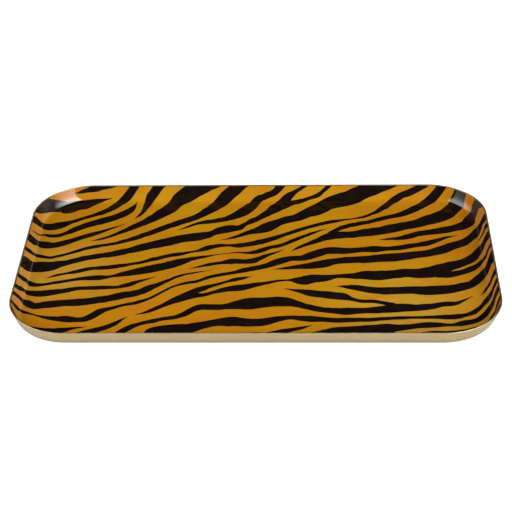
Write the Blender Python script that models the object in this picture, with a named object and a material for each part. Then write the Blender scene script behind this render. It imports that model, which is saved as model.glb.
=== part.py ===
"""A low rounded-rectangle serving tray: a drawn steel pan, its printed liner and four foot pads.

Metres, +Z up. The origin is the middle of the footprint, on the plane that the foot pads stand on.
+X runs along the tray's long side and +Y towards its back.
"""

import math

import bmesh
import bpy
from mathutils import Matrix, Vector

# Driving dimensions
TRAY_LENGTH = 0.400
TRAY_WIDTH = 0.228
CORNER_RADIUS = 0.050  # of the rim, seen from above
PAN_HEIGHT = 0.015
SHEET_THICKNESS = 0.0008
WALL_LEAN = math.radians(20.0)  # the wall leans outwards by this much from vertical
BEND_RADIUS = 0.0061  # inside the bend between floor and wall

LINER_THICKNESS = 0.0003
LINER_GAP = 0.0003
LINER_BELOW_RIM = 0.0006

PAD_RADIUS = 0.0060
PAD_THICKNESS = 0.0010
PAD_EDGE = 0.0002  # the pad's rounded lower edge
PAD_GAP = 0.0003

# Facets
QUARTER_TURN = math.radians(90.0)
CORNER_STEPS = 16
BEND_STEPS = 8
RIM_STEPS = 4
PAD_STEPS = 32
PAD_EDGE_STEPS = 2
ROUND_PROFILE = 0.5  # Blender's bevel profile for a circular edge
SHARP_ANGLE = math.radians(35.0)

# Worked out from the driving dimensions
PAN_BOTTOM = PAD_THICKNESS + PAD_GAP
RIM_TOP = PAN_BOTTOM + PAN_HEIGHT
FLOOR_MIDDLE = PAN_BOTTOM + SHEET_THICKNESS / 2
BEND_MIDDLE = BEND_RADIUS + SHEET_THICKNESS / 2

# A section point is (inset, height), where inset is how far inside the rim's outline it lies.
INWARD = Vector((math.cos(WALL_LEAN), math.sin(WALL_LEAN)))  # square to the wall, into the tray
RIM_CENTRE = Vector((SHEET_THICKNESS / 2, RIM_TOP - SHEET_THICKNESS / 2))
BEND_HEIGHT = FLOOR_MIDDLE + BEND_MIDDLE
BEND_CENTRE = Vector(
    (
        RIM_CENTRE.x + (BEND_MIDDLE - (BEND_HEIGHT - RIM_CENTRE.y) * INWARD.y) / INWARD.x,
        BEND_HEIGHT,
    )
)

LINER_OUTSIDE = SHEET_THICKNESS / 2 + LINER_GAP
LINER_INSIDE = LINER_OUTSIDE + LINER_THICKNESS


def direction(angle):
    """The unit section vector at an angle above the inward level."""
    return Vector((math.cos(angle), math.sin(angle)))


def bend_section(offset):
    """Section points round the floor bend, from floor to wall.

    The skin they lie on is offset inwards from the middle of the sheet.
    """
    radius = BEND_MIDDLE - offset
    points = []
    for step in range(BEND_STEPS + 1):
        angle = QUARTER_TURN + (WALL_LEAN - QUARTER_TURN) * step / BEND_STEPS
        points.append(BEND_CENTRE - radius * direction(angle))
    return points


def wall_point(offset, height):
    """The section point at a height on the straight wall of a skin offset inwards from the sheet's middle."""
    start = RIM_CENTRE + offset * INWARD
    fall = start.y - height
    return Vector((start.x + fall * math.tan(WALL_LEAN), height))


def rim_section():
    """Section points over the pan's rounded edge, from the outer wall to the inner wall."""
    radius = SHEET_THICKNESS / 2
    start = WALL_LEAN + math.pi
    return [
        RIM_CENTRE + radius * direction(start - math.pi * step / RIM_STEPS)
        for step in range(RIM_STEPS + 1)
    ]


def ring(bm, inset, height):
    """One rounded-rectangle loop of vertices, anticlockwise seen from above."""
    radius = CORNER_RADIUS - inset
    centre_x = TRAY_LENGTH / 2 - CORNER_RADIUS
    centre_y = TRAY_WIDTH / 2 - CORNER_RADIUS
    loop = []
    for quarter, (side_x, side_y) in enumerate(((1, 1), (-1, 1), (-1, -1), (1, -1))):
        for step in range(CORNER_STEPS + 1):
            angle = QUARTER_TURN * (quarter + step / CORNER_STEPS)
            x = side_x * centre_x + radius * math.cos(angle)
            y = side_y * centre_y + radius * math.sin(angle)
            loop.append(bm.verts.new((x, y, height)))
    return loop


def add_band(bm, lower, upper):
    """Joins two loops with quads that face out when lower comes first up the outside."""
    count = len(lower)
    for i in range(count):
        j = (i + 1) % count
        bm.faces.new((lower[i], lower[j], upper[j], upper[i]))


def swept_shell(name, section):
    """A closed shell from a section that runs out from the underside, over the edge and in to the floor."""
    bm = bmesh.new()
    rings = [ring(bm, point.x, point.y) for point in section]
    for lower, upper in zip(rings, rings[1:]):
        add_band(bm, lower, upper)
    bm.faces.new(list(reversed(rings[0])))
    bm.faces.new(rings[-1])
    return mesh_from(bm, name)


def mesh_from(bm, name):
    """Turns a bmesh into a mesh that is smooth round its bends and flat on its flat faces."""
    mesh = bpy.data.meshes.new(name)
    bm.to_mesh(mesh)
    bm.free()
    mesh.shade_smooth()
    mesh.set_sharp_from_angle(angle=SHARP_ANGLE)
    return mesh


def drawn_pan_mesh():
    """The pressed sheet: outer skin, rounded rim and inner skin."""
    half = SHEET_THICKNESS / 2
    outer = bend_section(-half)
    inner = bend_section(half)
    return swept_shell("drawn_pan", outer + rim_section() + inner[::-1])


def printed_liner_mesh():
    """The printed sheet, which follows the pan's inside and stops just under its rim."""
    top = RIM_TOP - LINER_BELOW_RIM
    outer = bend_section(LINER_OUTSIDE) + [wall_point(LINER_OUTSIDE, top)]
    inner = bend_section(LINER_INSIDE) + [wall_point(LINER_INSIDE, top)]
    return swept_shell("printed_liner", outer + inner[::-1])


def foot_pad_mesh():
    """A thin disc that stands on its rounded lower edge, with its top just under the pan."""
    bm = bmesh.new()
    bmesh.ops.create_cone(
        bm,
        cap_ends=True,
        segments=PAD_STEPS,
        radius1=PAD_RADIUS,
        radius2=PAD_RADIUS,
        depth=PAD_THICKNESS,
        matrix=Matrix.Translation((0.0, 0.0, PAD_THICKNESS / 2)),
    )
    lower_edges = [edge for edge in bm.edges if all(vert.co.z < PAD_EDGE for vert in edge.verts)]
    bmesh.ops.bevel(
        bm,
        geom=lower_edges,
        offset=PAD_EDGE,
        segments=PAD_EDGE_STEPS,
        profile=ROUND_PROFILE,
        affect="EDGES",
    )
    return mesh_from(bm, "foot_pad")


def material(name, colour, roughness, metallic):
    """A plain Principled BSDF finish."""
    finish = bpy.data.materials.new(name)
    finish.use_nodes = True
    shader = finish.node_tree.nodes["Principled BSDF"]
    shader.inputs["Base Color"].default_value = (*colour, 1.0)
    shader.inputs["Roughness"].default_value = roughness
    shader.inputs["Metallic"].default_value = metallic
    return finish


def place(name, mesh, finish, location=(0.0, 0.0, 0.0)):
    """Puts a mesh in the scene as a named part."""
    if not mesh.materials:
        mesh.materials.append(finish)
    part = bpy.data.objects.new(name, mesh)
    part.location = location
    bpy.context.scene.collection.objects.link(part)
    return part


def build():
    """Clears the scene and makes every part."""
    for old in list(bpy.data.objects):
        bpy.data.objects.remove(old)

    gold = material("gold_lacquer", colour=(0.62, 0.50, 0.27), roughness=0.35, metallic=0.8)
    amber = material("amber_print", colour=(0.60, 0.25, 0.01), roughness=0.12, metallic=0.0)
    rubber = material("black_rubber", colour=(0.03, 0.03, 0.03), roughness=0.8, metallic=0.0)

    place("drawn_pan", drawn_pan_mesh(), gold)
    place("printed_liner", printed_liner_mesh(), amber)

    pad_mesh = foot_pad_mesh()
    pad_x = TRAY_LENGTH / 2 - CORNER_RADIUS
    pad_y = TRAY_WIDTH / 2 - CORNER_RADIUS
    for across, y in (("front", -pad_y), ("back", pad_y)):
        for along, x in (("left", -pad_x), ("right", pad_x)):
            place(f"foot_pad_{across}_{along}", pad_mesh, rubber, location=(x, y, 0.0))


build()
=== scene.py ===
"""The looks of a serving tray with a tiger-striped print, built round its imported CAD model.

Metres, +Z up, in the CAD's own frame: +X runs along the tray and +Y towards its back.
Sizes come from the CAD. The print's stripes and patches of colour are laid out here, in millimetres.
"""

import math
import random

import bpy
import numpy as np
from mathutils import Euler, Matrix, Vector
from mathutils.geometry import delaunay_2d_cdt


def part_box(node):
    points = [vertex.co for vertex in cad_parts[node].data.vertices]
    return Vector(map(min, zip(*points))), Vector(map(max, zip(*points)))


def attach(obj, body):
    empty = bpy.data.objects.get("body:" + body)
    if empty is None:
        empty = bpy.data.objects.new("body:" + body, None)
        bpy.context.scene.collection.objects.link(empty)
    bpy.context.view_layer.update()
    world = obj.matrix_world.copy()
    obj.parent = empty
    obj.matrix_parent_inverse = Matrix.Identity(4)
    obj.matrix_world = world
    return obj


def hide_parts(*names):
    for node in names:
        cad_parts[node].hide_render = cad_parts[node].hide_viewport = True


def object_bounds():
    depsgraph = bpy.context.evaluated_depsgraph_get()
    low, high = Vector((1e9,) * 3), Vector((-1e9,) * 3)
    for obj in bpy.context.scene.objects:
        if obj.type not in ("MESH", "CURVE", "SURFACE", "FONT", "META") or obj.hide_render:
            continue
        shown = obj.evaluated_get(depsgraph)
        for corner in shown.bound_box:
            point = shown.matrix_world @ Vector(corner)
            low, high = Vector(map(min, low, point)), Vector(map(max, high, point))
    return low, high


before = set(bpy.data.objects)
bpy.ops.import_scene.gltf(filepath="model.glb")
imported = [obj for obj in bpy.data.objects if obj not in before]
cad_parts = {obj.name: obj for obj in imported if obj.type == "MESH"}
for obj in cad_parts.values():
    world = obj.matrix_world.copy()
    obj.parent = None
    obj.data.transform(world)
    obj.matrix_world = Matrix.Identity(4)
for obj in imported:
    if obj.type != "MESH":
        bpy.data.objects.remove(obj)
cad_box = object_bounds()

MM = 0.001
TOUCH = 0.000002         # points closer than this lie on the same line or level
LEVEL = 0.999            # a face whose normal rises more than this is level
QUARTER_TURN = math.pi / 2

PAD_NODES = ("foot_pad_front_left", "foot_pad_front_right", "foot_pad_back_left", "foot_pad_back_right")

# ---------------------------------------------------------------------------
# The tray's shape, measured on the CAD
# ---------------------------------------------------------------------------


def level_face(node, up):
    """The points of a node's lowest level face that looks up (up is 1) or down (up is -1)."""
    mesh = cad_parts[node].data
    points = []
    for polygon in mesh.polygons:
        if polygon.normal.z * up > LEVEL:
            points += [mesh.vertices[i].co for i in polygon.vertices]
    lowest = min(point.z for point in points)
    return [point for point in points if point.z < lowest + TOUCH]


def corner_of(points):
    """The middle of the round corner of a level rounded rectangle, and the corner's radius."""
    far_x = max(point.x for point in points)
    far_y = max(point.y for point in points)
    middle_x = max(point.x for point in points if point.y > far_y - TOUCH)
    middle_y = max(point.y for point in points if point.x > far_x - TOUCH)
    return Vector((middle_x, middle_y)), far_x - middle_x


def wall_section(node):
    """The (x, z) points of a node's section across its right-hand wall, highest first.

    Of two points at one height, the inner one comes first.
    """
    points = [vertex.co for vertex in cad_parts[node].data.vertices]
    cut = [point for point in points if abs(point.y - CORNER.y) < TOUCH and point.x > CORNER.x]
    rounded = {(-round(point.z / TOUCH), round(point.x / TOUCH)) for point in cut}
    return [Vector((across, -down)) * TOUCH for down, across in sorted(rounded)]


CORNER, REACH = corner_of(level_face("printed_liner", 1))
PRINT_LEVEL = level_face("printed_liner", 1)[0].z
PAN_FLOOR = level_face("drawn_pan", 1)[0].z
PAN_UNDERSIDE = level_face("drawn_pan", -1)[0].z
RIM_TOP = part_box("drawn_pan")[1].z
SHEET = PAN_FLOOR - PAN_UNDERSIDE

# The section starts with the inner and the outer point of the liner's edge.
PRINT_EDGE, _, BEND_END = wall_section("printed_liner")[:3]
LEAN = math.atan2(PRINT_EDGE.x - BEND_END.x, PRINT_EDGE.y - BEND_END.y)
PRINT_BEND = (BEND_END.y - PRINT_LEVEL) / (1 - math.sin(LEAN))
EDGE_STEEPER = math.radians(1.5)      # the print's wall is lit as if it stood this much steeper at its edge
BOW = 4                               # and as if it eased out of the bend with this power


class Skin:
    """One smooth face of the tray: a flat floor, a rolled bend and a leaning wall, all round."""

    def __init__(self, level, top):
        self.level = level
        self.bend = PRINT_BEND + PRINT_LEVEL - level
        self.roll = self.bend * (QUARTER_TURN - LEAN)
        self.run = self.roll + (top - level - self.bend * (1 - math.sin(LEAN))) / math.cos(LEAN)

    def section(self, distance):
        """Distance out from the floor's edge, height and slope, at a distance along the flattened sheet."""
        turned = QUARTER_TURN - np.clip(distance, 0, self.roll) / self.bend
        climbed = np.maximum(distance - self.roll, 0)
        out = self.bend * np.cos(turned) + climbed * math.sin(LEAN) + np.minimum(distance, 0)
        height = self.level + self.bend * (1 - np.sin(turned)) + climbed * math.cos(LEAN)
        return out, height, turned

    def slope(self, distance):
        """The slope as it is lit: the wall blends into its bend and stands steepest at its edge."""
        steepest = LEAN - EDGE_STEEPER
        start = (BOW * self.bend * (QUARTER_TURN - steepest) - self.run) / (BOW - 1)
        share = np.clip((distance - start) / (self.run - start), 0, 1)
        blended = steepest + (QUARTER_TURN - start / self.bend - steepest) * (1 - share) ** BOW
        return np.where(distance < start, QUARTER_TURN - distance / self.bend, blended)


PRINT = Skin(PRINT_LEVEL, PRINT_EDGE.y)
HALF_SHEET = CORNER + Vector((REACH + PRINT.run, REACH + PRINT.run))     # when it is flattened


def from_corner(points):
    """Distance of flattened points outside the floor's edge, and the outward direction there."""
    beyond = np.abs(points) - np.array(CORNER)
    out = np.maximum(beyond, 0)
    length = np.hypot(out[:, 0], out[:, 1])
    distance = length + np.minimum(beyond.max(axis=1), 0) - REACH
    direction = np.sign(points) * out / np.maximum(length, TOUCH)[:, None]
    return distance, direction


def fold(skin, points):
    """Folds points of the flattened sheet up into the tray; returns their places and surface normals."""
    distance, direction = from_corner(points)
    out, height, _ = skin.section(np.maximum(distance, 0))
    slope = skin.slope(np.maximum(distance, 0))
    shift = out - np.maximum(distance, 0)
    places = np.column_stack((points + direction * shift[:, None], height))
    normals = np.column_stack((-direction * np.cos(slope)[:, None], np.sin(slope)))
    normals[distance <= 0] = (0, 0, 1)
    return places, normals


def rounded_loop(radius, steps):
    """A rounded rectangle about the tray's corner middles, anticlockwise, with steps per corner."""
    loop = []
    for quarter, (side_x, side_y) in enumerate(((1, 1), (-1, 1), (-1, -1), (1, -1))):
        for step in range(steps + 1):
            angle = QUARTER_TURN * (quarter + step / steps)
            loop.append(
                (side_x * CORNER.x + radius * math.cos(angle), side_y * CORNER.y + radius * math.sin(angle))
            )
    return loop


# ---------------------------------------------------------------------------
# The print: tiger stripes laid out on the flattened sheet
# ---------------------------------------------------------------------------

# Each stripe is a path of (x, y, width) points in millimetres, about the middle of the print.
STRIPES = (
    ((-171, 111.4, 0.6), (-165, 114, 3), (-157.7, 116.6, 5), (-149.8, 118.8, 6.8), (-139, 121.7, 8)),
    ((-211, 73, 12), (-203, 82, 14), (-192, 91.5, 12.5), (-181, 95, 12.5), (-175, 94.5, 16),
     (-167, 98.5, 14.5), (-159, 101, 13), (-152, 104.5, 8), (-145, 107.4, 3.5), (-137, 109, 0.6)),
    ((-211, 53, 7), (-203, 60.5, 7.5), (-195, 65, 8), (-186, 64, 11.5), (-178, 66.5, 11),
     (-170, 71.5, 6.5), (-160, 77.5, 4.8), (-150, 83.5, 5.8), (-142, 89, 7.3), (-134.4, 96.8, 7.8),
     (-128, 105, 7.5), (-120, 113.8, 7.5), (-113, 123.4, 7.5)),
    ((-204, 42, 0.6), (-197.5, 47.5, 1.6), (-190, 50.7, 3), (-184, 49.2, 5.2), (-178, 49.5, 5.5),
     (-171, 53.7, 5.5), (-163, 60.5, 8), (-153, 67.5, 9), (-142, 73.5, 10), (-131, 79.8, 9.8),
     (-123, 86.5, 9.5), (-117, 94.5, 6.5), (-113.5, 105, 0.6)),
    ((-113, 78, 0.6), (-109.5, 83, 3), (-106.5, 90, 4.5), (-104.5, 98, 6.5), (-103, 105, 7.5),
     (-100.5, 111, 8.8), (-96, 117, 9.2), (-91, 124, 9.5)),
    ((-211, 25, 9), (-202.5, 31, 8.5), (-194, 36.5, 8.5), (-187, 34.7, 10.5), (-180, 34, 9.8),
     (-172, 37.5, 8.3), (-163, 42.5, 7.5), (-153, 48.8, 6.5), (-143, 54.5, 5.2), (-133, 61, 3.2),
     (-121, 68.5, 0.6)),
    ((-147.5, 41, 0.6), (-140, 44, 3), (-131, 49, 3.8), (-122, 56, 5.5), (-113, 63.5, 7.3),
     (-104, 71.5, 9), (-96, 79.5, 11), (-89, 87.5, 13), (-82.5, 95.5, 14.5), (-78.5, 103, 14),
     (-72.8, 109.3, 14.5), (-64.3, 115.4, 15), (-55, 120.6, 15), (-45.4, 125, 15)),
    ((-211, 7, 5), (-203, 13, 4.8), (-195, 18, 4.5), (-188, 16.8, 4.6), (-180, 15, 4), (-172, 17.5, 4.2),
     (-163, 22, 4), (-153, 28, 5), (-142, 32.5, 5.2), (-130, 35.8, 4.5), (-119, 40.8, 5.5),
     (-108, 47, 6.5), (-97, 54.5, 7.3), (-86, 62.3, 8.5), (-74, 70.5, 8.5), (-63, 77, 9),
     (-54, 84.5, 9.5), (-46.5, 93, 11.5), (-40, 101, 12.8), (-34, 109, 12.5), (-27, 116, 11.5),
     (-17, 124, 10)),
    ((-212, -13, 14), (-203, -6.5, 14), (-194, -0.5, 15.5), (-185, 0.2, 16), (-178, 1.5, 14),
     (-171, 4.8, 10.5), (-163, 7.5, 8.3), (-154, 11.8, 7.8), (-144, 15.8, 8), (-134, 18.3, 7.5),
     (-124, 21.5, 9), (-113, 26, 9), (-103, 30.5, 11), (-92, 35.2, 11.8), (-80, 40, 13),
     (-69, 44.7, 12.5), (-58, 47.3, 13), (-49, 50, 11.5), (-41, 54.7, 8.5), (-36, 57.8, 11.5),
     (-30, 60.5, 12), (-20, 62.5, 9), (-15, 68, 5.5), (-8, 74, 7.5), (0, 81, 8), (7, 89, 10),
     (14, 97.5, 13), (19, 104, 12), (23, 110, 8), (29, 115, 4.3), (37, 120, 3.5), (43, 124, 3)),
    ((16, 98, 12), (22, 102, 10), (28, 104.5, 6.5), (34, 106.3, 5.5), (42, 109.5, 3.5), (50, 112.3, 4),
     (55.5, 116.5, 3.5), (61, 122, 4)),
    ((-73.5, 58.5, 0.6), (-67, 62.5, 2.4), (-58, 68.8, 3.6), (-49, 71.8, 6.2), (-39, 74.4, 7.4),
     (-30, 78, 8.6), (-22, 84, 11), (-15.5, 90.5, 12.8), (-9.4, 99.3, 11.5), (-4, 108, 7.2), (4, 112, 6),
     (12, 115.8, 7), (15.6, 120.6, 9)),
    ((-34, 43, 0.6), (-27, 45.2, 2.6), (-19, 49.3, 5), (-11, 54.5, 7), (-3, 58, 10.5), (4, 62, 14),
     (14, 70.5, 11.5), (23, 76, 11.3), (32, 79.7, 12), (40, 86, 13.5), (45, 89.5, 16), (51, 94, 17.5),
     (58, 100.5, 16.5), (67, 104.5, 17), (78, 108.5, 16.5), (89, 114.5, 14), (102, 120, 14),
     (116, 126, 14)),
    ((-179, -16.5, 0.6), (-171, -12.5, 3.2), (-162, -9.2, 3.2), (-153, -6.2, 5.5), (-143, -2, 5.2),
     (-132, -0.8, 5.8), (-123, 0.7, 6.3), (-112, 4, 4.8), (-100, 7.7, 4.5), (-90, 12.5, 5.8),
     (-79, 17.2, 5.4), (-68, 20.5, 5.4), (-58, 24, 2.8), (-52, 26, 5), (-44, 30.8, 7.2),
     (-36, 33.3, 5.8), (-27, 34, 3.8), (-19, 33.8, 6.8), (-9, 36, 7.6), (1, 40, 7.8), (11, 45, 7),
     (22, 52, 5.2), (33, 58.5, 5), (45, 65, 5.2), (57, 70.6, 5.6), (69, 74.5, 4.2), (80, 77.2, 2),
     (90, 80.2, 3.6), (100, 86.7, 4.2), (107, 93.3, 6), (113, 100.5, 7.4), (119, 107.5, 7.4),
     (127, 112.7, 5.8), (136, 116.2, 6.5), (145, 121.5, 7)),
    ((-212, -33.5, 4), (-203, -28, 4.5), (-195, -22.5, 5.5), (-188, -26.5, 6), (-180, -26, 4),
     (-170, -23.3, 4.4), (-158, -19.5, 4.5), (-146, -17, 5.8), (-134, -15.8, 7.2), (-124, -13.8, 4),
     (-114, -10.3, 7.3), (-104, -7, 10.5), (-92, -2.8, 12), (-80, 1.7, 11.8), (-69, 7.2, 10.5),
     (-58, 13, 6.2), (-47, 16, 3.6), (-38, 19, 1.6), (-29, 21, 1), (-19, 22.7, 2), (-10, 22, 3.6),
     (-2, 24.5, 6.3), (8, 30, 5.3), (19, 34.7, 5), (30, 43, 5), (41, 50.7, 4.2), (50, 56.5, 2.6),
     (58, 61, 0.6)),
    ((-212, -49, 5), (-203, -43, 5), (-195, -36.5, 4.2), (-189, -38.5, 7), (-181, -39.7, 8.8),
     (-172, -37.8, 9), (-162, -35.3, 7.2), (-150, -31.8, 5.8), (-138, -31, 5.8), (-126, -30.2, 5.2),
     (-117, -29.8, 4.6), (-108, -25.8, 6), (-99, -20.7, 3.8), (-87, -14.5, 0.6)),
    ((-59, -2.5, 0.6), (-51, 0.8, 2.8), (-42, 4.2, 4.6), (-32, 6.7, 5), (-22, 9, 8.5), (-14, 8.3, 7),
     (-6, 9.6, 7.6), (1, 14.3, 6.2), (8, 19.3, 3.6), (14, 22.7, 2.2), (20.5, 27, 0.6)),
    ((-212, -61, 4), (-203, -53.5, 4), (-196, -50, 4.5), (-190, -52.5, 7.5), (-183, -56.5, 8.8),
     (-173, -55.2, 9.8), (-160, -53, 10), (-147, -51.5, 10.6), (-134, -49.2, 10), (-122, -46, 9.4),
     (-111, -41.5, 10), (-101, -38.7, 8.8), (-93, -33, 8.3), (-85, -27, 6.6), (-76, -20, 4.3),
     (-66, -12.8, 3), (-54, -8.5, 2.2), (-41, -4.7, 0.6)),
    ((-210, -69, 4.5), (-203, -67, 4.5), (-195, -63.8, 4), (-189, -66, 3.2), (-180, -69.8, 2),
     (-172, -73, 4), (-164, -74.7, 6.5), (-155, -75.5, 9), (-146, -76.6, 6.8), (-139, -75.5, 8),
     (-133, -70.5, 8.5), (-127, -64, 7.5), (-120, -60.3, 4.6), (-110, -56, 3.8), (-99, -52, 4.4),
     (-89, -46, 3.2), (-80, -37.3, 3), (-71, -29.3, 2.6), (-61, -24, 3.8), (-51, -21, 4.2),
     (-42, -15.3, 4.4), (-32, -11.8, 4.6), (-22, -8.6, 4.8), (-12, -4.6, 7), (-2, -1.3, 7.2),
     (8, 3, 8.3), (16, 8, 9.3), (26, 12.8, 8), (37, 14.2, 9), (47, 19.4, 10.5), (57, 25, 11),
     (66, 25.6, 11), (78, 25.4, 8.8), (90, 27.2, 8), (99, 28, 10.2), (110, 28.6, 7), (121, 30.2, 7.6),
     (132, 33.4, 7), (143, 36.2, 7.6), (153, 41, 6.2), (162, 46.3, 3.6), (172.5, 50, 0.6)),
    ((-98, -69, 1), (-91, -66.5, 3.2), (-83, -60.8, 4.6), (-76, -55.5, 5.4), (-69, -50, 8.2),
     (-61, -44.8, 10), (-53, -42, 8.5), (-45, -41.2, 5), (-36, -37.3, 5), (-26, -33.2, 7), (-15, -31, 9),
     (-4, -27.4, 6.8), (6, -24.4, 4.8), (16, -20.8, 3.4), (25, -19.6, 3), (31, -19.8, 8.5),
     (38, -20, 13), (46, -17.6, 12.5), (56, -16.6, 10), (66, -14, 6.6), (78, -13.5, 8.4),
     (90, -12.5, 13), (102, -12.8, 14.3), (113, -11.2, 12.6), (124, -9.2, 13), (136, -9.5, 15),
     (147, -7.7, 16.5), (156, -3, 17), (160, 0.1, 13.4), (164, 2.2, 13), (171.7, 5.5, 11.2),
     (179, 10.3, 10.3), (185, 17.3, 8), (190, 25.7, 7.2), (195.5, 32, 8.6), (201, 33, 10.5),
     (210, 30.5, 9.5)),
    ((-66, -46, 6), (-56, -38.5, 8), (-49, -33.5, 7.5), (-42, -29.5, 6.2), (-34, -25.8, 3.8),
     (-27, -22.2, 3.4), (-20, -19, 5.4), (-13, -16.6, 4), (-6, -14.2, 0.6)),
    ((150, -11.5, 9.5), (160, -11.8, 8.6), (167.7, -9.5, 8), (174.8, -6.6, 7.4), (181, -2.5, 7),
     (186, 2.3, 5), (191, 9, 4.2), (196.5, 13.4, 5.8), (202.5, 15.6, 5), (209.5, 14, 5)),
    ((12.5, -3.3, 0.6), (20, -2, 3.4), (31, 0, 5.8), (42, 2, 9.4), (53, 4.5, 11.6), (65, 9, 9.8),
     (78, 11, 10), (92, 12, 11.2), (106, 14, 11.8), (120, 15.6, 12.4), (133, 18.7, 11),
     (146, 21.8, 10.6), (156, 26, 12.4), (166, 32.2, 11), (175, 37.2, 10), (182, 43.3, 8.6),
     (188, 51, 8), (193.5, 60, 8.4), (199.5, 62.4, 10), (210, 58.8, 9.5)),
    ((27.5, 25, 0.6), (33, 30, 3.6), (41, 36, 5.4), (51, 42.3, 7), (60, 48.3, 11), (68, 50.5, 11.5),
     (80, 51.6, 10.8), (92, 54.3, 12.2), (105, 57.6, 12.6), (117, 62, 13.6), (129, 66.2, 12.6),
     (140, 70.3, 13.2), (149, 75.5, 15.2), (157, 79.3, 16), (164, 84.7, 16), (169.5, 91.2, 14.8),
     (174.2, 98, 14.6), (179.5, 104.4, 14.8), (187.3, 113, 15)),
    ((61, 53, 6), (67, 59, 5.4), (74, 64, 6.2), (84, 68.4, 6.2), (95, 72.2, 5.6), (107, 77.4, 6.4),
     (118, 82, 6.8), (128, 87, 8.6), (137, 94, 9.2), (145, 101, 9.6), (152, 107.8, 9), (159, 114.5, 8.8),
     (168, 122, 9)),
    ((103.5, 43, 0.6), (111, 44, 3.4), (120, 45.2, 5.4), (129, 48, 8.2), (138, 52.3, 7.8),
     (149, 55.2, 9), (160, 58.2, 10.6), (170, 61.8, 10), (178, 65.5, 11.5), (184, 71, 11.5),
     (187.2, 79.4, 9.5), (193, 85, 10.5), (200, 87.4, 11), (209.5, 81.5, 10)),
    ((191, 41, 0.8), (193.8, 45.6, 2.5), (199, 47, 4.5), (203.4, 48, 5.8), (209.5, 44.3, 6.2)),
    ((66, -28.8, 0.6), (73, -29.3, 4.6), (81, -30.5, 7.8), (91, -33.5, 9), (102, -35.4, 10.4),
     (115, -35.2, 11), (128, -34.4, 11.5), (141, -35.4, 13), (154, -34.5, 12.8), (164, -32.2, 11.5),
     (173, -28.4, 10.6), (180, -24.4, 9), (186, -17.2, 8.5), (191, -9.5, 8.5), (196.5, -5.3, 12),
     (202.5, -2.3, 16.5), (209.5, -2, 17)),
    ((185.5, -42, 0.6), (188.5, -36.5, 2), (192, -30.5, 3.2), (196.5, -27, 5.5), (201.5, -25, 7),
     (209.5, -26.3, 7.5)),
    ((22, -32, 0.6), (29, -34.3, 3), (36, -36.3, 6.2), (45, -39.2, 9.6), (55, -41, 10.6),
     (64, -43, 10.2), (71, -44, 10), (78, -47.5, 5.5), (86, -50.5, 4.8), (95, -50.8, 5), (104, -53, 5),
     (112, -56.5, 7)),
    ((-138, -123, 7), (-128, -113, 7), (-118, -104, 7), (-110, -95, 6.5), (-103, -88, 6.5),
     (-96, -82.8, 5), (-86, -79, 5.6), (-76, -75.5, 5), (-66, -72.8, 5.6), (-59, -68.8, 6.2),
     (-53, -62.8, 7), (-46, -58.8, 8.5), (-36, -59, 8.2), (-26, -58, 8.2), (-17, -55.8, 12),
     (-8, -54.3, 16.3), (4, -52.5, 15.2), (15, -51.2, 14.2), (24, -51.5, 13), (31, -54, 9.6),
     (40, -58, 7.6), (50, -62, 7.6), (61, -64.2, 8), (74, -65, 9.6), (86, -64, 8), (97, -63.2, 9),
     (107, -61.5, 11), (118, -60, 12), (130, -60.2, 10), (142, -58.5, 8.8), (153, -55, 7.2),
     (163, -53.8, 5.8), (170, -49.6, 3), (178, -43.7, 0.6)),
    ((-107, -123, 4), (-102, -115, 5), (-95, -106, 6), (-88, -98, 6), (-84, -91.5, 8), (-76, -90, 11),
     (-64, -89, 13), (-53, -88, 12.5), (-43, -84, 10.5), (-33, -80.6, 10.2), (-22, -79, 13),
     (-11, -80, 12.2), (0, -80.6, 11), (9, -79, 10), (17, -75.8, 7.8), (27, -73.8, 5.4),
     (36, -74.8, 7.2), (45, -75.6, 9), (54, -76, 6.8), (64, -77.5, 6.6), (76, -77, 6), (90, -76.8, 5.6),
     (105, -75.4, 5), (120, -74, 4.2), (136, -73.7, 4.4), (150, -73, 6), (162, -72.4, 7.2),
     (171, -70, 5), (178, -65.5, 5.5), (184, -58, 4), (190, -48, 4.6), (195.5, -40.8, 5.8),
     (201.5, -39, 6.8), (209.5, -37.2, 6.8)),
    ((-14, -110, 1), (0, -109, 4), (16, -107, 6), (30, -104, 8), (42, -101, 10), (52, -96, 9),
     (64, -93, 12), (78, -92, 13), (92, -91, 14), (104, -89.5, 14), (114, -88, 9.5), (124, -86.5, 7),
     (136, -84.2, 8), (147, -83.8, 6.6), (158, -84, 4.4), (167, -81.8, 7.5), (175, -79.3, 6.6),
     (181, -76, 5.6), (186, -69.8, 4.8), (190.5, -62, 4.4), (196, -54.3, 6.2), (201.6, -51, 8.8),
     (209.6, -50, 9.4)),
    ((188, -79, 1), (192, -73, 3), (197, -69, 5), (201, -65.6, 6.2), (209, -63, 7.5)),
    ((-74, -113, 0.6), (-64, -108, 3), (-50, -103, 5), (-34, -100, 6), (-18, -99, 6), (-4, -97.5, 6.5),
     (9, -96, 5), (19, -93, 5.5), (28, -90.8, 5), (36, -88, 4), (44.5, -84.5, 0.6)),
    ((130, -95.5, 2), (142, -95, 5), (156, -95, 6), (170, -92, 5), (182, -86, 3)),
    ((-207, -77, 4), (-199, -81, 5), (-190, -86.6, 6), (-182, -88.5, 7), (-174, -91, 8),
     (-166, -92.5, 9), (-156, -90.5, 7), (-147, -88, 3.5), (-137, -86.3, 0.8)),
    ((-172, -121, 6), (-166, -114, 7), (-157, -106, 8), (-146, -100, 8), (-137, -94.5, 8),
     (-128, -90.3, 7), (-120, -85.8, 6), (-114, -81.2, 5), (-109, -76, 2.6), (-105.5, -73, 0.8)),
    ((-60, -122, 4), (-44, -113, 6), (-28, -110, 6), (-20, -112, 4), (-10, -116, 2), (0, -118, 0.6)),
    ((30, -122, 4), (48, -113, 7), (68, -109, 8), (88, -108, 8), (108, -106, 7), (126, -103, 5),
     (140, -101, 1)),
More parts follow.
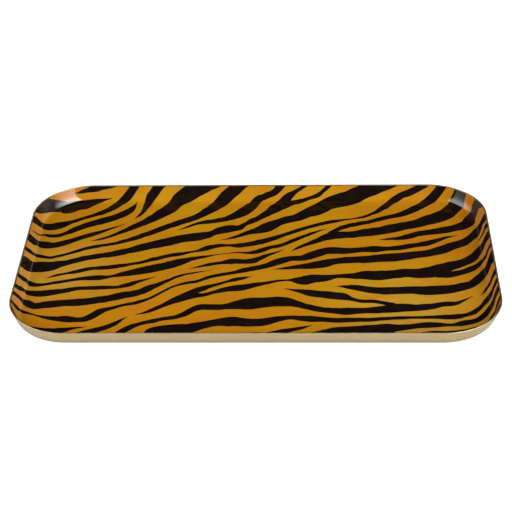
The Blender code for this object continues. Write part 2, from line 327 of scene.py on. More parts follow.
    ((96, -123, 5), (114, -116, 7), (134, -112, 8), (152, -107, 7), (168, -101, 6), (180, -93, 5),
     (190, -84, 4), (199, -76, 4), (208, -72, 4)),
    ((150, -123, 5), (166, -115, 6), (180, -105, 6), (191, -94, 5), (204, -79, 4)),
    ((-203, -90, 4), (-194, -94.5, 5), (-184, -97.5, 5), (-174, -98.5, 4), (-163, -99, 0.6)),
)

# How the print lies on the sheet: its middle's place, and its skew and stretch at the sheet's edges, (x, y)
PRINT_OFFSET = (1.7 * MM, -0.35 * MM)
PRINT_SKEW = (0.28 * MM, -0.38 * MM)
PRINT_STRETCH = (-1.25 * MM, -0.92 * MM)

RUN_ON = 0.9                 # share of its own width by which a stripe that meets the rim runs on past it
LEAST_RUN_ON = 5 * MM
NEAR_RIM = 1.5 * MM          # a stripe that ends this close to the sheet's edge meets the rim

TIP_LENGTH = 1.5 * MM
PATH_STEP = 1.3 * MM
LEAST_WIDTH = 0.3 * MM
NOTCH_SPACING = (2.5 * MM, 9 * MM)       # between the corners of a stripe's slightly torn edge
NOTCH_DEPTH = 0.42 * MM
FULL_NOTCH_WIDTH = 6 * MM    # narrower stripes have shallower notches


def registered(knots):
    """A stripe's points, moved to where the print lies on the flattened sheet."""
    across, along = knots[:, 0] / HALF_SHEET.x, knots[:, 1] / HALF_SHEET.y
    placed = knots.copy()
    placed[:, 0] += PRINT_OFFSET[0] + PRINT_SKEW[0] * along + PRINT_STRETCH[0] * across**2
    placed[:, 1] += PRINT_OFFSET[1] + PRINT_SKEW[1] * across + PRINT_STRETCH[1] * across * along
    return placed


def run_past_rim(knots):
    """Carries a stripe that ends at the sheet's edge on past it, so that the rim cuts it square."""
    distance, _ = from_corner(knots[:, :2])
    for end, inner in ((0, 1), (-1, -2)):
        if distance[end] > PRINT.run - NEAR_RIM:
            way = knots[end, :2] - knots[inner, :2]
            length = max(knots[end, 2] * RUN_ON, LEAST_RUN_ON)
            knots[end, :2] += way / np.linalg.norm(way) * length


def smooth_path(stripe):
    """Points every PATH_STEP or so along a Catmull-Rom curve through a stripe's points."""
    knots = registered(np.array(stripe) * MM)
    run_past_rim(knots)
    before = 2 * knots[0] - knots[1]
    after = 2 * knots[-1] - knots[-2]
    before[2] = knots[0][2]
    after[2] = knots[-1][2]
    knots = np.vstack((before, knots, after))
    points = []
    for a, b, c, d in zip(knots, knots[1:], knots[2:], knots[3:]):
        count = max(2, round(math.dist(b[:2], c[:2]) / PATH_STEP))
        for t in np.arange(count) / count:
            cubic = (3 * b - a - 3 * c + d) * t**3 + (2 * a - 5 * b + 4 * c - d) * t**2
            points.append((cubic + (c - a) * t + 2 * b) / 2)
    points.append(knots[-2])
    return np.array(points)


def torn_edge(lengths, seed):
    """How far one edge of a stripe strays from its smooth path, at lengths along it."""
    dice = random.Random(seed)
    corners, strays = [0.0], [0.0]
    while corners[-1] < lengths[-1]:
        corners.append(corners[-1] + dice.uniform(*NOTCH_SPACING))
        strays.append(dice.uniform(-NOTCH_DEPTH, NOTCH_DEPTH))
    return np.interp(lengths, corners, strays)


def stripe_outline(stripe, seed):
    """The closed outline of one stripe, pointed at both ends."""
    path = smooth_path(stripe)
    places, widths = path[:, :2], np.maximum(path[:, 2], LEAST_WIDTH)
    along = np.gradient(places, axis=0)
    along /= np.linalg.norm(along, axis=1)[:, None]
    across = np.column_stack((-along[:, 1], along[:, 0]))
    lengths = np.concatenate(([0], np.cumsum(np.linalg.norm(np.diff(places, axis=0), axis=1))))
    depth = np.minimum(widths / FULL_NOTCH_WIDTH, 1)
    left = widths / 2 + depth * torn_edge(lengths, 2 * seed)
    right = widths / 2 + depth * torn_edge(lengths, 2 * seed + 1)
    start = places[:1] - along[:1] * TIP_LENGTH
    end = places[-1:] + along[-1:] * TIP_LENGTH
    return np.vstack(
        (start, places - across * right[:, None], end, (places + across * left[:, None])[::-1])
    )


def is_inside(points, outline):
    """Whether each point lies inside a closed outline, by its winding number."""
    x, y = points[:, :1], points[:, 1:]
    x0, y0 = outline.T
    x1, y1 = np.roll(outline, -1, axis=0).T
    side = (x1 - x0) * (y - y0) - (x - x0) * (y1 - y0)
    rising = (y0 <= y) & (y1 > y) & (side > 0)
    falling = (y0 > y) & (y1 <= y) & (side < 0)
    return rising.sum(axis=1) != falling.sum(axis=1)


# ---------------------------------------------------------------------------
# Meshes
# ---------------------------------------------------------------------------

CORNER_STEPS = 40
BEND_STEPS = 14
WALL_STEPS = 4
RIM_STEPS = 10
LINER_SEAT = 0.05 * MM   # the liner's back all but touches the pan
AMBER, BLACK, BACK, EDGE = range(4)      # the liner's material indices


def new_piece(name, points, faces, corner_normals, kinds=None):
    """Makes a smooth-shaded object with given normals at its face corners and a material index per face."""
    mesh = bpy.data.meshes.new(name)
    mesh.from_pydata([tuple(point) for point in points], [], faces)
    if kinds is not None:
        mesh.polygons.foreach_set("material_index", kinds)
    mesh.shade_smooth()
    mesh.normals_split_custom_set([tuple(normal) for normal in corner_normals])
    piece = bpy.data.objects.new(name, mesh)
    bpy.context.scene.collection.objects.link(piece)
    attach(piece, "root")
    return piece


def add_loop(points, edges, loop):
    """Adds a closed loop of points and its edges to a drawing."""
    first = len(points)
    count = len(loop)
    points.extend(Vector(point) for point in loop)
    edges.extend((first + i, first + (i + 1) % count) for i in range(count))


def flat_print():
    """The flattened print as triangles, cut along the stripes' outlines and the lines it is folded on."""
    points, edges = [], []
    wall = PRINT.run - PRINT.roll
    bend_rows = [PRINT.roll * row / BEND_STEPS for row in range(BEND_STEPS + 1)]
    wall_rows = [PRINT.roll + wall * row / WALL_STEPS for row in range(1, WALL_STEPS + 1)]
    for distance in bend_rows + wall_rows:
        add_loop(points, edges, rounded_loop(REACH + distance, CORNER_STEPS))
    outlines = [stripe_outline(stripe, seed) for seed, stripe in enumerate(STRIPES)]
    for outline in outlines:
        add_loop(points, edges, outline)
    flat, _, triangles, _, _, _ = delaunay_2d_cdt(points, edges, [], 0, TOUCH / 10)
    flat = np.array(flat)
    triangles = np.array(triangles)
    middles = flat[triangles].mean(axis=1)
    kept = from_corner(middles)[0] < PRINT.run
    triangles, middles = triangles[kept], middles[kept]
    inked = np.zeros(len(triangles), bool)
    for outline in outlines:
        low, high = outline.min(axis=0), outline.max(axis=0)
        near = ((middles > low) & (middles < high)).all(axis=1)
        inked[near] |= is_inside(middles[near], outline)
    used, triangles = np.unique(triangles, return_inverse=True)
    return flat[used], triangles.reshape(-1, 3), inked


def outer_edges(triangles):
    """The edges that belong to one triangle only, in the direction that triangle runs along them."""
    pairs = np.vstack((triangles[:, [0, 1]], triangles[:, [1, 2]], triangles[:, [2, 0]]))
    known = {tuple(pair) for pair in pairs.tolist()}
    return [pair for pair in pairs.tolist() if (pair[1], pair[0]) not in known]


def printed_liner():
    """Makes the printed sheet: its striped face, its plain back and the cut edge between them."""
    flat, triangles, inked = flat_print()
    face_points, face_normals = fold(PRINT, flat)
    depth = PRINT_LEVEL - PAN_FLOOR - LINER_SEAT
    back_points = face_points - face_normals * depth
    count = len(flat)
    faces = triangles.tolist() + (triangles[:, ::-1] + count).tolist()
    normals = face_normals[triangles].reshape(-1, 3).tolist()
    normals += (-face_normals[triangles[:, ::-1]]).reshape(-1, 3).tolist()
    kinds = np.where(inked, BLACK, AMBER).tolist() + [BACK] * len(triangles)
    for a, b in outer_edges(triangles):
        faces.append([b, a, a + count, b + count])
        upward = Vector(face_points[a] - back_points[a]).cross(Vector(face_points[b] - face_points[a]))
        normals += [tuple(-upward.normalized())] * 4
        kinds.append(EDGE)
    piece = new_piece("striped_print", np.vstack((face_points, back_points)), faces, normals, kinds)
    for material in (amber_ink(), black_ink(), sheet_back(), cut_edge()):
        piece.data.materials.append(material)
    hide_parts("printed_liner")


def pan_section():
    """The pan's section, from its underside out, over the round rim and in to its floor.

    Each point is (distance out from the floor's edge, height, outward part and rise of its normal).
    """
    inner = Skin(PAN_FLOOR, RIM_TOP)
    outer = Skin(PAN_UNDERSIDE, RIM_TOP)
    radius = SHEET / 2
    rim_height = RIM_TOP - radius
    middle = Skin((PAN_FLOOR + PAN_UNDERSIDE) / 2, rim_height)
    rim_out = float(middle.section(np.array(middle.run))[0])
    points = []
    for step in range(BEND_STEPS + 1):
        out, height, turned = outer.section(outer.roll * step / BEND_STEPS)
        points.append((out, height, math.cos(turned), -math.sin(turned)))
    for step in range(RIM_STEPS + 1):
        angle = -LEAN + math.pi * step / RIM_STEPS
        across, rise = math.cos(angle), math.sin(angle)
        points.append((rim_out + radius * across, rim_height + radius * rise, across, rise))
    for step in range(BEND_STEPS, -1, -1):
        out, height, turned = inner.section(inner.roll * step / BEND_STEPS)
        points.append((out, height, -math.cos(turned), math.sin(turned)))
    return points


def drawn_pan():
    """Makes the pressed pan as one closed shell, swept round the tray's outline."""
    points, normals, faces = [], [], []
    corner = rounded_loop(0, CORNER_STEPS)
    outward = np.array(rounded_loop(1, CORNER_STEPS)) - np.array(corner)
    count = len(corner)
    section = pan_section()
    for out, height, across, rise in section:
        for middle, direction in zip(corner, outward):
            place = np.array(middle) + direction * (REACH + out)
            points.append((*place, height))
            normals.append((*(direction * across), rise))
    faces.append(list(range(count - 1, -1, -1)))
    for row in range(len(section) - 1):
        for i in range(count):
            j = (i + 1) % count
            faces.append([row * count + i, row * count + j, (row + 1) * count + j, (row + 1) * count + i])
    faces.append(list(range((len(section) - 1) * count, len(section) * count)))
    corner_normals = [normals[i] for face in faces for i in face]
    piece = new_piece("gold_pan", points, faces, corner_normals)
    piece.data.materials.append(gold_lacquer())
    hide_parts("drawn_pan")


PAD_STEPS = 72
PAD_ROUND_STEPS = 6
PAD_FILLET = 0.3             # of the pad's height, round its lower edge
PAD_TAPER = 0.4              # of the fillet, by which the pad is narrower at its top
PAD_DISH = 0.12              # of the pad's height, hollowed out of its foot
PAD_STAND = (0.62, 0.58)     # of the pad's radius, where the ring that it stands on ends
PAD_DISH_EDGE = 0.54         # of the pad's radius, where the hollow is at its full depth
PAD_SHARP = math.radians(50)


def pad_profile(radius, height):
    """(radius, height) points of a moulded pad, from the middle of its top round to that of its foot."""
    fillet = height * PAD_FILLET
    dish = height * PAD_DISH
    points = [(0, height), (radius - fillet * PAD_TAPER, height)]
    for step in range(PAD_ROUND_STEPS + 1):
        angle = -QUARTER_TURN * step / PAD_ROUND_STEPS
        points.append((radius - fillet + fillet * math.cos(angle), fillet + fillet * math.sin(angle)))
    points += [(radius * share, 0) for share in PAD_STAND]
    points += [(radius * PAD_DISH_EDGE, dish), (0, dish)]
    return points


def foot_pad(node, rubber):
    """Makes one round rubber pad, turned from its profile."""
    low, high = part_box(node)
    middle = (low + high) / 2
    radius = (high.x - low.x) / 2
    profile = pad_profile(radius, PAN_UNDERSIDE - low.z)
    points, faces = [], []
    rings = []
    for out, height in profile:
        ring = []
        for step in range(PAD_STEPS if out > 0 else 1):
            angle = 2 * math.pi * step / PAD_STEPS
            ring.append(len(points))
            x, y = middle.x + out * math.cos(angle), middle.y + out * math.sin(angle)
            points.append((x, y, low.z + height))
        rings.append(ring)
    for upper, lower in zip(rings, rings[1:]):
        for i in range(PAD_STEPS):
            j = (i + 1) % PAD_STEPS
            left = [upper[i % len(upper)], lower[i % len(lower)]]
            right = [lower[j % len(lower)], upper[j % len(upper)]]
            faces.append(list(dict.fromkeys(left + right)))
    mesh = bpy.data.meshes.new(node)
    mesh.from_pydata(points, [], faces)
    mesh.shade_smooth()
    mesh.set_sharp_from_angle(angle=PAD_SHARP)
    piece = bpy.data.objects.new("rubber_" + node.removeprefix("foot_"), mesh)
    bpy.context.scene.collection.objects.link(piece)
    piece.data.materials.append(rubber)
    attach(piece, "root")
    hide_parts(node)


# ---------------------------------------------------------------------------
# Materials
# ---------------------------------------------------------------------------

MIX_A, MIX_B, MIX_RESULT = 6, 7, 2      # the colour sockets of a Mix node
PATCH_STRENGTH = 0.8


class Finish:
    """A material under construction, with short calls for the nodes that it uses."""

    def __init__(self, name):
        self.material = bpy.data.materials.new(name)
        self.material.use_nodes = True
        self.tree = self.material.node_tree
        self.shader = self.tree.nodes["Principled BSDF"]
        self.place = self.tree.nodes.new("ShaderNodeTexCoord").outputs["Object"]

    def join(self, value, socket):
        """Sets a socket to a value, or links it to another node's output."""
        if isinstance(value, bpy.types.NodeSocket):
            self.tree.links.new(value, socket)
        else:
            socket.default_value = value

    def set(self, **values):
        """Sets or links the shader's own sockets, named with _ for a space."""
        for name, value in values.items():
            self.join(value, self.shader.inputs[name.replace("_", " ")])

    def stretched(self, scale):
        """The place on the object, scaled by a different amount along each axis."""
        node = self.tree.nodes.new("ShaderNodeMapping")
        node.inputs["Scale"].default_value = scale
        self.join(self.place, node.inputs["Vector"])
        return node.outputs["Vector"]

    def noise(self, size, detail=2.0, roughness=0.5, place=None):
        """Soft noise from 0 to 1 whose patches are about size across."""
        node = self.tree.nodes.new("ShaderNodeTexNoise")
        node.inputs["Scale"].default_value = 1 / size
        node.inputs["Detail"].default_value = detail
        node.inputs["Roughness"].default_value = roughness
        self.join(place or self.place, node.inputs["Vector"])
        return node.outputs["Fac"]

    def spread(self, value, low, high, to_low=0.0, to_high=1.0):
        """Maps low..high to to_low..to_high, held at the ends."""
        node = self.tree.nodes.new("ShaderNodeMapRange")
        for name, number in (("From Min", low), ("From Max", high), ("To Min", to_low), ("To Max", to_high)):
            node.inputs[name].default_value = number
        self.join(value, node.inputs["Value"])
        return node.outputs["Result"]

    def combine(self, a, b, operation="ADD"):
        """Adds, or otherwise combines, two numbers."""
        node = self.tree.nodes.new("ShaderNodeMath")
        node.operation = operation
        self.join(a, node.inputs[0])
        self.join(b, node.inputs[1])
        return node.outputs["Value"]

    def axis(self, index):
        """One coordinate of the place on the object."""
        node = self.tree.nodes.new("ShaderNodeSeparateXYZ")
        self.join(self.place, node.inputs["Vector"])
        return node.outputs[index]

    def patch(self, x, y, radius):
        """A soft round patch seen from above: strongest in its middle, 0 from its radius outwards."""
        flat = self.stretched((1.0, 1.0, 0.0))
        node = self.tree.nodes.new("ShaderNodeVectorMath")
        node.operation = "DISTANCE"
        self.join(flat, node.inputs[0])
        node.inputs[1].default_value = (x, y, 0.0)
        reach = self.spread(node.outputs["Value"], 0.0, radius, PATCH_STRENGTH, 0.0)
        reach.node.interpolation_type = "SMOOTHSTEP"
        return reach

    def facing(self):
        """0 where the surface is seen straight on, 1 where it is seen edge on."""
        return self.tree.nodes.new("ShaderNodeLayerWeight").outputs["Facing"]

    def mix(self, share, first, second):
        """A colour between two others."""
        node = self.tree.nodes.new("ShaderNodeMix")
        node.data_type = "RGBA"
        self.join(share, node.inputs["Factor"])
        self.join(first, node.inputs[MIX_A])
        self.join(second, node.inputs[MIX_B])
        return node.outputs[MIX_RESULT]

    def bump(self, height, depth, under=None):
        """A normal bent by a height pattern that is depth metres tall."""
        node = self.tree.nodes.new("ShaderNodeBump")
        node.inputs["Distance"].default_value = depth
        self.join(height, node.inputs["Height"])
        if under is not None:
            self.join(under, node.inputs["Normal"])
        return node.outputs["Normal"]


def rgb(red, green, blue):
    return (red, green, blue, 1.0)


ORANGE = rgb(0.400, 0.158, 0.0050)
YELLOW = rgb(0.450, 0.245, 0.0050)
PALE = rgb(0.430, 0.250, 0.0300)
# painted light: the orange as it looks more brightly lit, laid along the front of the floor
PAINTED_LIGHT_ORANGE = rgb(0.465, 0.190, 0.0060)
TANGERINE = rgb(0.440, 0.138, 0.0060)
OLIVE = rgb(0.360, 0.215, 0.0060)
# painted sheen: the rosy cast laid over the amber on the two end walls
ROSY_PAINTED_SHEEN = rgb(0.500, 0.220, 0.1000)
# painted reflection: the grey laid over the black ink in the two back corners
PAINTED_REFLECTION_GREY = rgb(0.120, 0.105, 0.100)
# russet: the fine grain of the ink, and also the painted shade on the right end wall
RUSSET = rgb(0.330, 0.110, 0.0060)
INK = rgb(0.0068, 0.0037, 0.0024)
INK_THIN = rgb(0.0130, 0.0075, 0.0055)

# Broad soft patches of colour: (x, y, radius) on the tray, in millimetres. The yellow and pale ones are the
# print's own. The others are painted light: brighter amber along the front, darker amber on the right end
# wall, and a grey reflection on the black in the two back corners.
YELLOW_PATCHES = ((-60, 88, 70), (50, 92, 60), (95, -45, 75))
PALE_PATCHES = ((130, -72, 95), (-165, -10, 75))
# painted light patches: the amber brighter along the front of the floor
FRONT_PAINTED_LIGHT_PATCHES = ((-135, -95, 60), (-60, -98, 70), (25, -98, 70))
# painted reflection patches: grey on the black ink in the two back corners
PAINTED_REFLECTION_PATCHES = ((-202, 90, 26), (201, 84, 20))
# painted shade patches: the amber darker and redder on the right end wall, which faces away from the key
# light
RIGHT_WALL_PAINTED_SHADE_PATCHES = ((206, 20, 60), (190, 84, 45))
PRINT_CLOUDS_AND_PAINTED_LIGHT = (
    (YELLOW_PATCHES, YELLOW),
    (PALE_PATCHES, PALE),
    (FRONT_PAINTED_LIGHT_PATCHES, PAINTED_LIGHT_ORANGE),
    (RIGHT_WALL_PAINTED_SHADE_PATCHES, RUSSET),
)
# painted sheen: how far the amber turns rosy on the two end walls
END_WALL_PAINTED_SHEEN = 0.2          # how far the amber turns rosy on the two end walls
# how strongly the painted grey reflection covers the black ink
PAINTED_REFLECTION_STRENGTH = 0.4
PRINT_BUMP = 0.003 * MM


def clear_coat(finish):
    """The clear stoving lacquer over the print: glossy, with faint orange peel and a little handling haze.

    It mirrors less where it is seen at a glancing angle, so that the print keeps its colours there.
    """
    peel = finish.noise(2.2 * MM, detail=1.0)
    slow = finish.noise(38 * MM, detail=1.0)
    ripple = finish.bump(slow, 0.02 * MM)
    finish.set(Coat_IOR=1.75, Coat_Normal=finish.bump(peel, 0.002 * MM, under=ripple))
    finish.set(Coat_Weight=finish.spread(finish.facing(), 0.2, 0.45, 1.0, 0.15))
    haze = finish.noise(24 * MM, detail=4.0, roughness=0.65)
    finish.set(Coat_Roughness=finish.spread(haze, 0.35, 0.75, 0.06, 0.11))


def amber_ink():
    """The print's amber ground: orange with broad clouds, tangerine streaks and a fine ink grain, plus
    painted light: brighter along the front, darker on the right end wall and a rosy sheen on both end walls.
    """
    finish = Finish("amber_ink")
    clouds = finish.noise(55 * MM, detail=3.0, place=finish.stretched((0.6, 1.2, 1.0)))
    streaks = finish.noise(11 * MM, detail=4.0, roughness=0.6, place=finish.stretched((0.4, 1.5, 1.0)))
    mottle = finish.noise(7 * MM, detail=3.0, roughness=0.6)
    grain = finish.noise(0.5 * MM, detail=2.0, roughness=0.7)
    colour = finish.mix(finish.spread(clouds, 0.40, 0.68, 0.0, 0.55), ORANGE, YELLOW)
    # The print's own clouds, then painted light along the front and painted shade on the right end wall
    for patches, tint in PRINT_CLOUDS_AND_PAINTED_LIGHT:
        for x, y, radius in patches:
            colour = finish.mix(finish.patch(x * MM, y * MM, radius * MM), colour, tint)
    colour = finish.mix(finish.spread(streaks, 0.45, 0.75, 0.0, 0.7), colour, TANGERINE)
    colour = finish.mix(finish.spread(mottle, 0.52, 0.80, 0.0, 0.6), colour, OLIVE)
    colour = finish.mix(finish.spread(grain, 0.40, 0.75, 0.0, 0.12), colour, RUSSET)
    # Painted sheen: the amber turns rosy on the two end walls
    aside = finish.combine(finish.axis("X"), 0.0, "ABSOLUTE")
    floor_end = CORNER.x + REACH
    end_wall_sheen = finish.spread(aside, floor_end, floor_end + PRINT.bend, 0.0, END_WALL_PAINTED_SHEEN)
    colour = finish.mix(end_wall_sheen, colour, ROSY_PAINTED_SHEEN)
    finish.set(Base_Color=colour, Roughness=finish.spread(grain, 0.3, 0.7, 0.42, 0.55))
    finish.set(Specular_IOR_Level=0.0, Normal=finish.bump(grain, PRINT_BUMP))
    clear_coat(finish)
    return finish.material


def black_ink():
    """The print's black stripes: a slightly brown black, thinner in places, with a painted grey reflection in
    the two back corners.
    """
    finish = Finish("black_ink")
    cover = finish.noise(12 * MM, detail=4.0, roughness=0.6)
    grain = finish.noise(0.4 * MM, detail=2.0, roughness=0.7)
    thin = finish.combine(finish.spread(cover, 0.45, 0.85), finish.spread(grain, 0.5, 0.9, 0.0, 0.3))
    colour = finish.mix(thin, INK, INK_THIN)
    # Painted reflection: the black turns grey in the two back corners
    for x, y, radius in PAINTED_REFLECTION_PATCHES:
        painted_reflection = finish.combine(finish.patch(x * MM, y * MM, radius * MM), PAINTED_REFLECTION_STRENGTH, "MULTIPLY")
        colour = finish.mix(painted_reflection, colour, PAINTED_REFLECTION_GREY)
    finish.set(Base_Color=colour, Roughness=finish.spread(grain, 0.3, 0.7, 0.38, 0.5))
    finish.set(Specular_IOR_Level=0.0, Normal=finish.bump(grain, PRINT_BUMP))
    clear_coat(finish)
    return finish.material


def sheet_back():
    """The liner's unprinted back: grey tinplate with a rolled grain."""
    finish = Finish("tinplate_back")
    grain = finish.noise(1.2 * MM, detail=3.0, place=finish.stretched((0.08, 1.0, 1.0)))
    finish.set(Base_Color=finish.mix(grain, rgb(0.36, 0.35, 0.33), rgb(0.50, 0.49, 0.46)), Metallic=1.0)
    finish.set(Roughness=finish.spread(grain, 0.3, 0.7, 0.35, 0.5), Normal=finish.bump(grain, 0.004 * MM))
    return finish.material


def cut_edge():
    """The liner's narrow edge under the rim, dark where the ink wraps over it, and painted near-black for the
    shade in the narrow gap under the rim.
    """
    finish = Finish("inked_edge_painted_shade")
    patches = finish.noise(3 * MM, detail=3.0)
    # Painted shade: the edge is kept near-black for the shade in the gap under the rim
    finish.set(Base_Color=finish.mix(patches, INK, rgb(0.05, 0.028, 0.008)))
    finish.set(Roughness=finish.spread(patches, 0.3, 0.7, 0.3, 0.5), Normal=finish.bump(patches, 0.01 * MM))
    return finish.material


GOLD = rgb(0.440, 0.341, 0.172)
GOLD_DEEP = rgb(0.365, 0.275, 0.130)
# painted shade: the gold as it looks in the shade under the bend
GOLD_PAINTED_SHADE = rgb(0.280, 0.200, 0.120)
BARE_EDGE = rgb(0.66, 0.60, 0.47)
# painted shade: the height above the underside over which the gold darkens towards the bottom
PAINTED_SHADE_HEIGHT = 9 * SHEET      # above the underside, over which the gold grows from low to full tone


def gold_lacquer():
    """Pale gold lacquer on steel: satin, with a fine metallic grain, a rim worn a little brighter, and
    painted shade that darkens it towards the underside.
    """
    finish = Finish("gold_lacquer")
    clouds = finish.noise(30 * MM, detail=3.0)
    flake = finish.noise(0.35 * MM, detail=3.0, roughness=0.75)
    drawn = finish.noise(1.5 * MM, detail=3.0, place=finish.stretched((1.0, 1.0, 0.12)))
    tone = finish.mix(finish.spread(clouds, 0.35, 0.7, 0.0, 0.4), GOLD, GOLD_DEEP)
    # Painted shade: the gold darkens towards the underside
    low = finish.spread(finish.axis("Z"), PAN_UNDERSIDE, PAN_UNDERSIDE + PAINTED_SHADE_HEIGHT, 1.0, 0.0)
    tone = finish.mix(low, tone, GOLD_PAINTED_SHADE)
    flecked = finish.mix(finish.spread(flake, 0.52, 0.80, 0.0, 0.5), tone, GOLD_DEEP)
    scuffs = finish.spread(finish.noise(4 * MM, detail=4.0, roughness=0.7), 0.42, 0.62)
    rim = finish.spread(finish.axis("Z"), RIM_TOP - SHEET * 0.6, RIM_TOP - SHEET * 0.1)
    wear = finish.combine(scuffs, rim, "MULTIPLY")
    finish.set(Base_Color=finish.mix(wear, flecked, BARE_EDGE), Metallic=0.9)
    satin = finish.spread(drawn, 0.3, 0.7, 0.30, 0.42)
    finish.set(Roughness=finish.combine(satin, finish.spread(flake, 0.4, 0.8, 0.0, 0.06)))
    grain = finish.bump(flake, 0.004 * MM)
    finish.set(Normal=finish.bump(drawn, 0.006 * MM, under=grain))
    finish.set(Coat_Weight=0.25, Coat_Roughness=0.2)
    return finish.material


def pad_rubber():
    """Black moulded rubber with a fine matt grain and dusty wear."""
    finish = Finish("pad_rubber")
    grain = finish.noise(0.25 * MM, detail=3.0, roughness=0.7)
    dust = finish.noise(2.5 * MM, detail=3.0)
    dusty = finish.spread(dust, 0.4, 0.8)
    finish.set(Base_Color=finish.mix(dusty, rgb(0.018, 0.018, 0.018), rgb(0.045, 0.043, 0.04)))
    finish.set(Roughness=finish.spread(dust, 0.3, 0.7, 0.72, 0.88), Normal=finish.bump(grain, 0.05 * MM))
    return finish.material


# ---------------------------------------------------------------------------
# The stage: floor, world, lights and camera
# ---------------------------------------------------------------------------

FLOOR_HALF = 6.0
FLOOR_LIFT = 0.6            # the camera sees the floor this much brighter, as an over-exposed white sweep


def studio_floor():
    """A large pale matt floor just under the pads."""
    mesh = bpy.data.meshes.new("studio_floor")
    corners = ((-1, -1), (1, -1), (1, 1), (-1, 1))
    points = [(x * FLOOR_HALF, y * FLOOR_HALF, cad_box[0].z) for x, y in corners]
    mesh.from_pydata(points, [], [(0, 1, 2, 3)])
    floor = bpy.data.objects.new("studio_floor", mesh)
    bpy.context.scene.collection.objects.link(floor)
    finish = Finish("studio_floor")
    finish.set(Base_Color=rgb(0.86, 0.86, 0.86), Roughness=0.9, Specular_IOR_Level=0.1)
    seen = finish.tree.nodes.new("ShaderNodeLightPath").outputs["Is Camera Ray"]
    lift = finish.combine(seen, FLOOR_LIFT, "MULTIPLY")
    finish.set(Emission_Color=rgb(1.0, 1.0, 1.0), Emission_Strength=lift)
    mesh.materials.append(finish.material)


SURROUND_SOFT = 0.15        # how bright the surround is to matt surfaces, to the camera and in reflections
SURROUND_SEEN = 1.0
SURROUND_MIRRORED = 0.004


def studio_world():
    """A white surround, with its own brightness for matt surfaces, the camera and reflections."""
    world = bpy.data.worlds.new("studio")
    world.use_nodes = True
    bpy.context.scene.world = world
    nodes, links = world.node_tree.nodes, world.node_tree.links
    path = nodes.new("ShaderNodeLightPath")
    strength = SURROUND_SOFT
    for ray, seen in (("Is Camera Ray", SURROUND_SEEN), ("Is Glossy Ray", SURROUND_MIRRORED)):
        choice = nodes.new("ShaderNodeMix")
        links.new(path.outputs[ray], choice.inputs["Factor"])
        if isinstance(strength, bpy.types.NodeSocket):
            links.new(strength, choice.inputs["A"])
        else:
            choice.inputs["A"].default_value = strength
        choice.inputs["B"].default_value = seen
        strength = choice.outputs["Result"]
    links.new(strength, nodes["Background"].inputs["Strength"])
    nodes["Background"].inputs["Color"].default_value = rgb(1.0, 1.0, 1.0)


FADED = 0.04                # how bright a soft box is at an edge that it fades out to

CAMERA_LENS = 109.34        # mm, on a 36 mm wide sensor
CAMERA_DISTANCE = 1.3242
CAMERA_PITCH = math.radians(33.34)
CAMERA_YAW = math.radians(2.267)
CAMERA_ROLL = math.radians(-1.352)
CAMERA_SHIFT = (-0.0010, 0.0115)     # where the camera aims, right of and above the origin as it sees it


def studio_camera():
    """The camera in front of the tray, looking down at it, with a slight tilt."""
    data = bpy.data.cameras.new("studio_camera")
    data.lens = CAMERA_LENS
    camera = bpy.data.objects.new("studio_camera", data)
    aim = Euler((QUARTER_TURN - CAMERA_PITCH, 0, CAMERA_YAW)).to_matrix()
    turn = aim @ Euler((0, 0, CAMERA_ROLL)).to_matrix()
    camera.rotation_euler = turn.to_euler()
    camera.location = turn @ Vector((*CAMERA_SHIFT, CAMERA_DISTANCE))
    bpy.context.scene.collection.objects.link(camera)
    bpy.context.scene.camera = camera


def fade_light(data, *spans):
    """Fades an area light in along its width and height, each over a span of it from 0 to 1."""
    data.use_nodes = True
    nodes, links = data.node_tree.nodes, data.node_tree.links
    split = nodes.new("ShaderNodeSeparateXYZ")
    links.new(nodes.new("ShaderNodeNewGeometry").outputs["Parametric"], split.inputs["Vector"])
    product = nodes.new("ShaderNodeMath")
    product.operation = "MULTIPLY"
    for index, (start, end) in enumerate(spans):
        ramp = nodes.new("ShaderNodeMapRange")
        ramp.inputs["From Min"].default_value = start
        ramp.inputs["From Max"].default_value = end
        ramp.inputs["To Min"].default_value = FADED
        links.new(split.outputs[index], ramp.inputs["Value"])
        links.new(ramp.outputs["Result"], product.inputs[index])
    links.new(product.outputs["Value"], nodes["Emission"].inputs["Strength"])


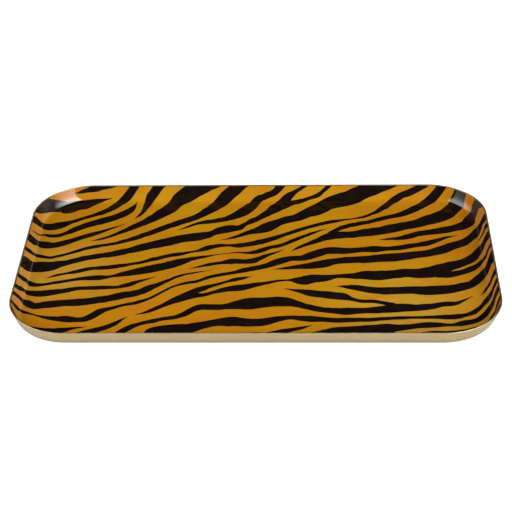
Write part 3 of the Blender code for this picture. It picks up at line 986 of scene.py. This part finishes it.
def soft_box(name, heading, rise, width, height, distance, radiance, seen_in, fade=None):
    """A soft rectangular light facing the tray, given as the tray sees it.

    Headings run clockwise from behind the tray, and angles are in degrees. It lights only matt
    surfaces ("diffuse") or shows only in reflections ("glossy"). It can fade out towards its
    side behind the tray and its lower edge, over these shares of its width and height.
    """
    turn, climb = math.radians(heading), math.radians(rise)
    away = Vector((math.sin(turn) * math.cos(climb), math.cos(turn) * math.cos(climb), math.sin(climb)))
    data = bpy.data.lights.new(name, "AREA")
    data.shape = "RECTANGLE"
    data.size = 2 * distance * math.tan(math.radians(width / 2))
    data.size_y = 2 * distance * math.tan(math.radians(height / 2))
    data.energy = radiance * math.pi * data.size * data.size_y
    if fade is not None:
        across, up = fade
        sideways = (1, 1 - across) if heading > 0 else (0, across)
        fade_light(data, sideways, (0, up))
    light = bpy.data.objects.new(name, data)
    light.location = away * distance
    light.rotation_euler = (-away).to_track_quat("-Z", "Y").to_euler()
    light.visible_camera = False
    light.visible_diffuse = seen_in != "glossy"
    light.visible_glossy = seen_in != "diffuse"
    bpy.context.scene.collection.objects.link(light)


def studio_lights():
    """A key box on the right, a dimmer one on the left, a front box, and the panels that the coat mirrors."""
    soft_box("key_box", 116, 31, 42, 60, 2.0, 4.4, "diffuse")
    soft_box("fill_box", -100, 33, 50, 58, 2.0, 2.6, "diffuse")
    soft_box("front_box", 180, 22, 36, 24, 1.1, 7.5, "diffuse")
    soft_box("key_glint", 121, 27, 58, 56, 2.2, 7.0, "glossy", fade=(0.55, 0.5))
    soft_box("fill_glint", -94, 27, 64, 56, 2.2, 3.2, "glossy", fade=(0.5, 0.5))
    soft_box("back_glint_right", 21, 24, 18, 11, 8.0, 2.4, "glossy")
    soft_box("back_glint_left", -19, 26, 10, 9, 8.0, 1.6, "glossy")
    soft_box("side_glint", 52, 22, 26, 44, 8.0, 1.2, "glossy")


pad_finish = pad_rubber()
drawn_pan()
printed_liner()
for pad_node in PAD_NODES:
    foot_pad(pad_node, pad_finish)

studio_floor()
studio_world()
studio_camera()
studio_lights()
bpy.context.scene.view_settings.view_transform = "Standard"
